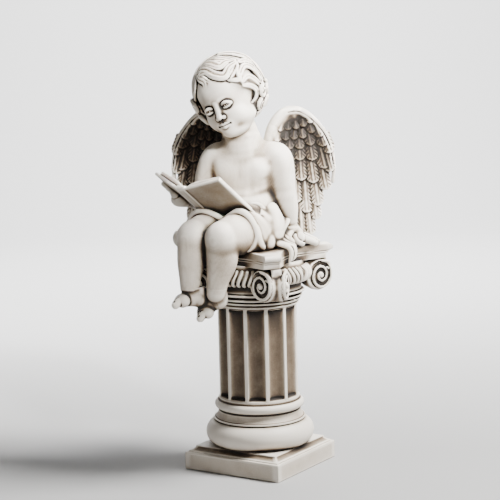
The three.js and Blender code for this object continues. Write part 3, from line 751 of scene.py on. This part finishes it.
def makeWing(name, root, out, front):
    clay = clayBlock((-36, -160, -24), (124, 84, 20), feathers["cell"])
    u, v, _ = clay.axes
    plateHeights = plateUnder(u, v, feathers["plate"])
    faceHeights = np.maximum(featherHeights(u, v, feathers["faceRelief"]), plateHeights)
    backHeights = np.maximum(featherHeights(u, v, feathers["backRelief"]), plateHeights)
    plate = [heights[:, :, None] for heights in (faceHeights, backHeights)]
    depth = clay.grid()[2]
    shape = np.maximum(depth - plate[0], -depth - plate[1] * 0.8)
    clay.fill(shape.astype(np.float32), 0.3)
    clay.rope(feathers["rim"], 5)
    clay.rope([(4, -18, -4, 10), (13, 10, -2, 9), (20, 32, -1, 8.5), (30, 48, -1, 7.5), (44, 55, 0, 5.5)], 9)
    clay.rope([(34, 64, 11, 1.2), (50, 65, 9.6, 1.5), (64, 59, 8.6, 1.5), (81, 45, 7.2, 1.5),
               (97, 24, 5.4, 1.4), (107.5, -5, 4.4, 1.3), (111, -36, 3.6, 1)], 1, dig=True)
    clay.rope([(8, 36, 2, 8), (14, 10, 2, 6), (16, -20, 1, 5), (20, -60, 0, 3.5)], 4)
    plane = frameOf(root, (out, (0, 0, 1), front))
    piece = clay.skin(name, "cherub_figure")
    flat = np.empty(len(piece.data.vertices) * 3, np.float32)
    piece.data.vertices.foreach_get("co", flat)
    flat = flat.reshape(-1, 3) * 1000
    # Cup the wing towards the front, outward and downward.
    flat[:, 2] += 0.0016 * np.maximum(flat[:, 0] - 30, 0) ** 2 + 0.0004 * np.minimum(flat[:, 1] + 20, 0) ** 2
    # Brown lies thick among the upper feathers and thins towards the tips, and the rim is rubbed clean.
    path = curveThrough(feathers["rim"], 4)
    fromRim = np.min([np.hypot(flat[:, 0] - x, flat[:, 1] - y) - r for x, y, _, r in path], axis=0)
    thick = np.clip((flat[:, 1] + 100) / 120, 0.06, 1) * np.clip((flat[:, 0] - 12) / 12, 0.3, 1)
    layPatinaAndShade(piece, thick * np.clip(fromRim / 5, 0, 1) * feathers["patina"] + feathers["thinPatina"])
    placed = moved(flat, plane) / 1000
    piece.data.vertices.foreach_set("co", placed.astype(np.float32).ravel())
    if np.linalg.det(plane[:3, :3]) < 0:
        piece.data.flip_normals()


makeWing("left_wing", (6, 38, 544), (0.743, 0.669, 0), (0.669, -0.743, 0))
makeWing("right_wing", (-48, 14, 544), (-0.985, -0.174, 0), (0.174, -0.985, 0))
print("wings made")


# The pedestal.

pedestal = {
    "carvingCell": 1.4,
    "plinth": (0.19, 0.03),  # side and height, in metres
    "flutes": 12,
    "shaftRadius": 69.0,
    "fluteRadius": 21.1,
    "fluteDepth": 8.5,
    "shaft": (118, 288),
    "capital": 328,
    "volute": 26.6,
    "voluteOut": 110,  # how far out along the diagonal
    "splay": 23,
    "turn": 2.5,
    "bandPitch": 11.6,  # from one turn of the spiral to the next
    "rollRibs": 11,
    "abacus": (357, 381.7),
    "cornerCut": 19,
}


def finished(name, divisions=0):
    # Take the active object as a piece of the pedestal, in metres, with its faces outward.
    piece = bpy.context.object
    piece.name = name
    if divisions:
        subdivide = piece.modifiers.new("divide", "SUBSURF")
        subdivide.subdivision_type = "SIMPLE"
        subdivide.levels = divisions
        bpy.ops.object.modifier_apply(modifier=subdivide.name)
    bpy.ops.object.mode_set(mode="EDIT")
    bpy.ops.mesh.select_all(action="SELECT")
    bpy.ops.mesh.remove_doubles(threshold=1e-6)
    bpy.ops.mesh.normals_make_consistent(inside=False)
    bpy.ops.object.mode_set(mode="OBJECT")
    bpy.ops.object.transform_apply(location=True, rotation=True, scale=True)
    bpy.ops.object.shade_smooth_by_angle(angle=math.radians(40))
    statueParts.append((piece, "ionic_pedestal"))
    return piece


def bevelled(width, segments=3):
    piece = bpy.context.object
    bevel = piece.modifiers.new("bevel", "BEVEL")
    bevel.width = width / 1000
    bevel.segments = segments
    bpy.ops.object.modifier_apply(modifier=bevel.name)


def turned(name, profile, segments=96):
    # A profile of radius and height, swept round the column's axis.
    points = [(radius / 1000, 0, height / 1000) for radius, height in profile]
    piece = chosen(objectOf(name, points, [(i, i + 1) for i in range(len(points) - 1)], []))
    screw = piece.modifiers.new("turn", "SCREW")
    screw.steps = screw.render_steps = segments
    screw.use_merge_vertices = True
    screw.merge_threshold = 1e-5
    bpy.ops.object.modifier_apply(modifier=screw.name)
    return finished(name)


def arc(centre, radius, start, end, steps=8):
    # Points of a round moulding, by angles from the outward direction.
    angles = np.radians(np.linspace(start, end, steps + 1))
    return [(centre[0] + radius * math.cos(a), centre[1] + radius * math.sin(a)) for a in angles]


def stacked(name, outlines):
    # Closed rings of points, one above another, with flat ends.
    count = len(outlines[0])
    points = np.vstack(outlines)
    faces = []
    for level in range(len(outlines) - 1):
        base = level * count
        for i in range(count):
            j = (i + 1) % count
            faces.append((base + i, base + j, base + count + j, base + count + i))
    faces.append(tuple(range(count - 1, -1, -1)))
    faces.append(tuple(range(len(points) - count, len(points))))
    chosen(objectOf(name, (points / 1000).tolist(), [], faces))
    return finished(name)


def makeBase():
    side, high = pedestal["plinth"]
    bpy.ops.mesh.primitive_cube_add(size=1, location=(0, 0, high / 2), scale=(side, side, high))
    bpy.ops.object.transform_apply(location=False, rotation=False, scale=True)
    bevelled(2.2)
    finished("plinth", 4)
    levels = ((29, 90), (31.2, 90), (32.2, 89), (33.2, 86.5), (34.6, 84), (36.2, 82), (38, 80.8), (40, 80.5))
    rings = []
    for height, half in levels:
        edge = np.linspace(-half, half, 25)[:-1]
        ring = [(x, -half, height) for x in edge] + [(half, y, height) for y in edge]
        ring += [(-x, half, height) for x in edge] + [(-half, -y, height) for y in edge]
        rings.append(np.array(ring))
    stacked("hip", rings)
    # The big torus, a hollow, and the small torus.
    torus = arc((71.5, 60.5), 22.2, -78, 78, 22)
    hollow = arc((88, 99), 16.5, 228, 184, 8)
    ring = arc((70, 109.5), 7.4, -70, 70, 10)
    turned("base_mouldings", [(0, 34), (74, 34), *torus, (79.5, 84), (79, 86.5), *hollow, (70.4, 102),
                              (72, 102.6), *ring, (71, 117), (70.2, 119), (70.2, 122), (0, 122)])


def makeShaft():
    reach = pedestal["shaftRadius"] - pedestal["fluteDepth"] + pedestal["fluteRadius"]
    radius, low, high = pedestal["fluteRadius"], *pedestal["shaft"]
    half = math.acos((radius**2 + reach**2 - pedestal["shaftRadius"] ** 2) / (2 * radius * reach))
    angles, radii = [], []
    for flute in range(pedestal["flutes"]):
        middle = flute * 2 * math.pi / pedestal["flutes"]
        for swing in np.linspace(-half, half, 17):
            along = reach - radius * math.cos(swing)
            across = radius * math.sin(swing)
            angles.append(middle + math.atan2(across, along))
            radii.append(math.hypot(along, across))
    angles, radii = np.array(angles), np.array(radii)
    rings = []
    for height in (low, low + 4.9, low + 5, *np.linspace(low + 9, high - 9, 40), high - 5, high - 4.9, high):
        inner = low + 4.95 < height < high - 4.95
        edge = min(height - low - 5, high - 5 - height)
        share = min(max(edge / 4, 0), 1) ** 0.5 if inner else 0
        reachHere = pedestal["shaftRadius"] - (pedestal["shaftRadius"] - radii) * share
        level = np.full(len(angles), height)
        rings.append(np.column_stack([np.cos(angles) * reachHere, np.sin(angles) * reachHere, level]))
    shaft = stacked("shaft", rings)
    points, _ = meshArrays(shaft)
    depth = pedestal["shaftRadius"] - np.hypot(points[:, 0], points[:, 1])
    top = np.clip((points[:, 2] - 215) / 70, 0, 1)
    layPatinaAndShade(shaft, np.clip(depth / 6, 0, 1) * (0.2 + 0.35 * top**2))
    # Thin rings with deep hollows between them, then the bell of the capital.
    profile = [(0, 280), (66, 280), (68, 282.4)]
    for radius, height in ((71.5, 285), (74.5, 291.5), (78, 298), (82, 306.5)):
        profile += arc((radius - 1.6, height), 1.7, -80, 80, 6)
        profile += [(radius - 5.5, height + 2.4), (radius - 5, height + 4.2)]
    bell = [(77, 315), (79, 326), (84, 334), (86, 344), (82, 352), (80, 358), (0, 358)]
    turned("neck_mouldings", profile + bell)


def abacusRing(half, hollow, height):
    ring = []
    for turn in range(4):
        cosine, sine = math.cos(turn * math.pi / 2), math.sin(turn * math.pi / 2)
        for share in np.linspace(0, 1, 33):
            x = (half - pedestal["cornerCut"]) * (2 * share - 1)
            y = -half + hollow * (1 - (2 * share - 1) ** 2) ** 1.2
            ring.append((x * cosine - y * sine, x * sine + y * cosine, height))
    return np.array(ring)


def makeAbacus():
    low, high = pedestal["abacus"]
    levels = [(low, 92), (low + 1, 94), (low + 8, 95.5), (low + 9.2, 94.5), (low + 9.8, 97.5),
              (low + 11.6, 98.6), (low + 12.4, 97)]
    for angle in np.radians(np.linspace(-70, 80, 11)):
        levels.append((high - 5.6 + 5.4 * math.sin(angle), 99 + 5 * math.cos(angle)))
    levels += [(high, 92), (high, 60)]
    stacked("abacus", [abacusRing(half, 17 + (half - 90) * 1.3, height) for height, half in levels])


def voluteFace(clay, hand):
    # A thick disc with a band that winds in to an eye.
    x, y, z = clay.grid()
    size = pedestal["volute"]
    normal = (math.cos(math.radians(65)), hand * math.sin(math.radians(65)))
    along, aside = x - pedestal["voluteOut"], y - hand * pedestal["splay"]
    out = along * normal[0] + aside * normal[1]
    across = (along * normal[1] - aside * normal[0]) * hand
    reach = np.sqrt(across**2 + z**2)
    angle = np.arctan2(z, across) / (2 * math.pi)
    wind = (size - reach) / pedestal["bandPitch"] + angle - 0.25
    groove = np.cos(2 * math.pi * wind)
    ridge = 6 * np.clip((groove - 0.15) * 2.4, 0, 1) - 5
    ridge = np.where(reach < 5.2, np.sqrt(np.maximum(5.2**2 - reach**2, 0)) * 0.8 - 1.5, ridge)
    ridge = ridge - 2.0 * np.clip((reach - size + 4) / 4, 0, 1) ** 2
    shape = np.maximum(np.maximum(reach - size, out - ridge), -out - 19)
    clay.fill(shape, 0.6)
    return out


def makeCorners():
    # One corner of the capital: along the diagonal, across it, and up from the middle of the volutes.
    clay = clayBlock((58, -62, -32), (140, 62, 34), pedestal["carvingCell"])
    faces = [voluteFace(clay, hand) for hand in (-1, 1)]
    # A smooth leaf closes the corner between the two volutes, with a curled tip above each and a peg on top.
    x, y, z = clay.grid()
    leaf = np.sqrt((x - 103) ** 2 + z**2) - 26 + 0.004 * y**2
    clay.fill(np.maximum(np.maximum(faces[0], faces[1]) + 3.2, leaf), 1.5)
    for hand in (-1, 1):
        clay.rope([(112, hand * 22, 25, 2.4), (123, hand * 16, 21.5, 2.4), (129, hand * 11, 15, 2.2),
                   (127, hand * 12, 9.5, 2), (122, hand * 16, 12, 1.8)], 0.8)
    clay.fill(np.maximum(np.maximum(np.abs(x - 108) - 17, np.abs(y - 2) - 8.5), np.abs(z - 22) - 7), 1)
    for corner in range(4):
        place = frameOf((0, 0, pedestal["capital"]), turnedTo(pedestal["turn"] + 45 + 90 * corner))
        clay.skin(f"capital_corner_{corner + 1}", "ionic_pedestal", place)


def makeCushions():
    # The roll between the volutes on each side, wrapped in slanted leaves.
    clay = clayBlock((-58, -104, 316), (58, -60, 362), pedestal["carvingCell"])
    for share in np.linspace(-1, 1, pedestal["rollRibs"]):
        angle = math.radians(share * 31)
        lean = math.radians(share * 31 + 4 * (1 if share > 0 else -1))
        path = [(82, angle, 325), (89, angle, 328), (93, (angle + lean) / 2, 336),
                (91, lean, 344), (84, lean, 349)]
        rib = [(reach * math.sin(turn), -reach * math.cos(turn), height, 2.9) for reach, turn, height in path]
        clay.rope(rib, 0.5)
    clay.rope([(-48, -66, 337, 9.5), (0, -78, 337, 9.5), (48, -66, 337, 9.5)], 0.6)
    for side in range(4):
        clay.skin(f"capital_roll_{side + 1}", "ionic_pedestal", frameOf((0, 0, 0), turnedTo(90 * side)))


makeBase()
makeShaft()
makeAbacus()
makeCorners()
makeCushions()
print("pedestal made")


# Stone.


class Look:
    # A socket of a shader node with arithmetic.
    def __init__(self, tree, socket=None):
        self.tree = tree
        self.socket = socket

    def add(self, kind, settings, sockets, out=0):
        # Any node: its settings first, then the values or links of its sockets.
        node = self.tree.nodes.new(kind)
        for key, value in settings.items():
            setattr(node, key, value)
        for key, value in sockets.items():
            if isinstance(value, Look):
                self.tree.links.new(value.socket, node.inputs[key])
            else:
                node.inputs[key].default_value = value
        return Look(self.tree, node.outputs[out])

    def maths(self, operation, first, second, clamp=False):
        settings = {"operation": operation, "use_clamp": clamp}
        return self.add("ShaderNodeMath", settings, {0: first, 1: second})

    def __add__(self, other):
        return self.maths("ADD", self, other)

    def __radd__(self, other):
        return self.maths("ADD", other, self)

    def __sub__(self, other):
        return self.maths("SUBTRACT", self, other)

    def __rsub__(self, other):
        return self.maths("SUBTRACT", other, self)

    def __mul__(self, other):
        return self.maths("MULTIPLY", self, other)

    def __rmul__(self, other):
        return self.maths("MULTIPLY", other, self)

    def clamped(self):
        return self.maths("ADD", self, 0.0, clamp=True)


# Stone tones, pale to near black; the darker ones are laid by patina and by painted shade alike.
stoneLook = {
    "high": (0.80, 0.74, 0.65),
    "middle": (0.34, 0.26, 0.175),
    "patina": (0.085, 0.055, 0.032),
    "deep": (0.012, 0.008, 0.005),
    "bump": 0.25,
    "bumpDepth": 0.0006,  # metres
}


def stoneMaterial():
    material = bpy.data.materials.new("stone with patina and painted shade")
    material.use_nodes = True
    tree = material.node_tree
    start = Look(tree)
    place = start.add("ShaderNodeTexCoord", {}, {}, "Object")
    # The attribute holds patina and painted shade together; with blotches and grain it darkens the stone
    # towards brown and near black.
    hollow = start.add("ShaderNodeAttribute", {"attribute_name": "patina_and_shade"}, {}, "Fac")

    def noise(scale, detail, rough):
        sockets = {"Vector": place, "Scale": scale, "Detail": detail, "Roughness": rough}
        return start.add("ShaderNodeTexNoise", {}, sockets)

    def mixed(share, first, second):
        return start.add("ShaderNodeMix", {"data_type": "RGBA"}, {0: share.clamped(), 6: first, 7: second}, 2)

    high, middle, patina, deep = ((*stoneLook[name], 1) for name in ("high", "middle", "patina", "deep"))
    blotch = noise(28, 4, 0.6)
    grain = noise(420, 3, 0.6)
    patinaShadeAndBlotch = hollow + (blotch - 0.5) * 0.3 + (grain - 0.5) * 0.1
    pale = mixed(patinaShadeAndBlotch * 2.0 + 0.12, high, middle)
    brown = mixed(patinaShadeAndBlotch * 2.4 - 0.5, pale, patina)
    dark = mixed(patinaShadeAndBlotch * 2.6 - 1.3, brown, deep)
    rough = (hollow * 0.25 + (grain - 0.5) * 0.2 + 0.55).clamped()
    height = noise(260, 4, 0.65) + noise(60, 2, 0.5) * 0.6
    bump = start.add("ShaderNodeBump", {},
                     {"Strength": stoneLook["bump"], "Distance": stoneLook["bumpDepth"], "Height": height})
    shader = tree.nodes["Principled BSDF"]
    for name, look in (("Base Color", dark), ("Roughness", rough), ("Normal", bump)):
        tree.links.new(look.socket, shader.inputs[name])
    return material


recesses = {
    "cell": 2.0,
    "low": np.array((-190, -200, -20.0)),
    "high": np.array((140, 150, 735)),
    "least": -0.4,
    "most": 1.8,
}


def addPatinaAndShade():
    # Where a point is shut in, with much stone close by in front of the surface, it darkens: painted shade
    # where nearby stone would shut out light, and patina in the fine hollows.
    cell, low = recesses["cell"], recesses["low"]
    counts = ((recesses["high"] - low) / cell).astype(int)
    solid = np.zeros(counts, np.float32)
    transform = openvdb.createLinearTransform(cell)
    for piece, _ in statueParts:
        mesh = piece.data
        mesh.calc_loop_triangles()
        corners = np.empty(len(mesh.loop_triangles) * 3, np.int32)
        mesh.loop_triangles.foreach_get("vertices", corners)
        points, _ = meshArrays(piece)
        faces = corners.reshape(-1, 3).astype(np.uint32)
        level = openvdb.FloatGrid.createLevelSetFromPolygons(
            points - low, triangles=faces, transform=transform, halfWidth=3)
        part = np.empty(counts, np.float32)
        level.copyToArray(part)
        solid = np.maximum(solid, np.clip(0.5 - part / cell, 0, 1))
    near = blurred(solid, 1)
    wide = blurred(solid, 3)
    for piece, _ in statueParts:
        points, normals = meshArrays(piece)
        patinaAndShadeAmount = np.zeros(len(points))
        # Painted shade: how shut in each point is by stone close in front of it, near and wide, as ambient
        # occlusion.
        for field, out, weight in ((near, 3.0, 0.5), (wide, 7.0, 0.6)):
            spots = (points + normals * out - low) / cell
            base = np.clip(np.floor(spots).astype(int), 0, np.array(counts) - 2)
            share = spots - base
            value = 0
            for dx in (0, 1):
                for dy in (0, 1):
                    for dz in (0, 1):
                        sides = np.abs(1 - np.array((dx, dy, dz)) - share)
                        corner = field[base[:, 0] + dx, base[:, 1] + dy, base[:, 2] + dz]
                        value = value + corner * (sides[:, 0] * sides[:, 1] * sides[:, 2])
            patinaAndShadeAmount += weight * value
        patinaAndShadeAmount = np.clip(patinaAndShadeAmount * 1.6 - 0.1, 0, 1.1) + np.clip(hollows(piece) * 2.4, -0.3, 1.4)
        # Painted shade: surfaces that face downward are darkened, more the further down they face.
        patinaAndShadeAmount += 0.3 * np.clip(-normals[:, 2] - 0.1, 0, 1)
        attribute = piece.data.attributes.get("patina_and_shade")
        if attribute:
            amounts = np.empty(len(points), np.float32)
            attribute.data.foreach_get("value", amounts)
            patinaAndShadeAmount += amounts
            piece.data.attributes.remove(attribute)
        layPatinaAndShade(piece, np.clip(patinaAndShadeAmount, recesses["least"], recesses["most"]))


def hollows(piece):
    # How far each point lies below its smoothed surroundings.
    points, normals = meshArrays(piece)
    edges = np.empty(len(piece.data.edges) * 2, np.int32)
    piece.data.edges.foreach_get("vertices", edges)
    start, end = edges[0::2], edges[1::2]
    spacing = np.median(np.linalg.norm(points[start] - points[end], axis=1))
    rounds = int(np.clip(12 / spacing**2, 1, 12))
    count = np.bincount(edges, minlength=len(points))[:, None]
    smooth = points.astype(float)
    for _ in range(rounds):
        total = np.zeros_like(smooth)
        for axis in range(3):
            total[:, axis] = np.bincount(start, smooth[end, axis], len(points))
            total[:, axis] += np.bincount(end, smooth[start, axis], len(points))
        smooth = 0.4 * smooth + 0.6 * total / np.maximum(count, 1)
    return ((smooth - points) * normals).sum(axis=1)


addPatinaAndShade()
print("recesses found")

stone = stoneMaterial()
for piece, node in statueParts:
    piece.data.materials.append(stone)
    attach(piece, "root")
    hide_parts(node)


# Floor, light and camera.

studio = {
    "camera": (1.40167, -2.17080, 0.7226),
    "turn": (82.338, 1.407, 32.881),
    "lens": 109.4,
    "away": np.array((-0.5425, 0.840)),
    "side": np.array((0.840, 0.5425)),
    "floorReach": 9,
    "sweepStart": 3.2,
    "sweepRadius": 1.6,
    "wallHeight": 5,
    "floorGrey": 0.42,
    "world": 0.11,
}

# A floor that sweeps up into a wall on the far side.
reach, start, bend = studio["floorReach"], studio["sweepStart"], studio["sweepRadius"]
sweep = [(-reach, 0), (start, 0)]
sweep += [(start + bend * math.sin(a), bend - bend * math.cos(a)) for a in np.radians(np.arange(10, 91, 10))]
sweep.append((start + bend, studio["wallHeight"]))
ends = [studio["side"] * end for end in (-reach, reach)]
points = [(*(studio["away"] * out + end), up) for end in ends for out, up in sweep]
count = len(sweep)
floor = objectOf("floor", points, [], [(i, i + 1, i + count + 1, i + count) for i in range(count - 1)])
floor.data.shade_smooth()
floorMaterial = bpy.data.materials.new("pale floor")
floorMaterial.use_nodes = True
floorShader = floorMaterial.node_tree.nodes["Principled BSDF"]
floorShader.inputs["Base Color"].default_value = (*[studio["floorGrey"]] * 3, 1)
floorShader.inputs["Roughness"].default_value = 0.9
floor.data.materials.append(floorMaterial)

for name, place, aimed, size, spread, power, colour in (
    ("key", (1.25, 0.5, 2.25), (0, 0, 0.45), 0.8, 180, 210, (1, 0.99, 0.97)),
    ("front", (1.9, -0.9, 1.7), (0, 0, 0.66), 0.4, 18, 3.5, (1, 1, 1)),
    ("fill", (-1.8, -2.6, 1.0), (0, 0, 0.4), 2.0, 180, 3, (1, 0.78, 0.56)),
    ("rim", (-0.6, 2.8, 2.4), (0, 0, 0.4), 2.0, 180, 18, (1, 1, 1)),
    ("wall", (-0.9, 1.4, 2.8), (-2.6, 4.0, 1.0), 2.0, 180, 850, (1, 1, 1)),
):
    bpy.ops.object.light_add(type="AREA", location=place)
    light = bpy.context.object
    light.name = name
    light.data.size = size
    light.data.spread = math.radians(spread)
    light.data.energy = power
    light.data.color = colour
    aim = Vector(aimed) - Vector(place)
    light.rotation_euler = aim.to_track_quat("-Z", "Y").to_euler()

world = bpy.data.worlds.new("studio")
bpy.context.scene.world = world
world.use_nodes = True
world.node_tree.nodes["Background"].inputs["Color"].default_value = (1, 1, 1, 1)
world.node_tree.nodes["Background"].inputs["Strength"].default_value = studio["world"]

bpy.ops.object.camera_add(location=studio["camera"], rotation=[math.radians(a) for a in studio["turn"]])
camera = bpy.context.object
camera.data.lens = studio["lens"]
bpy.context.scene.camera = camera
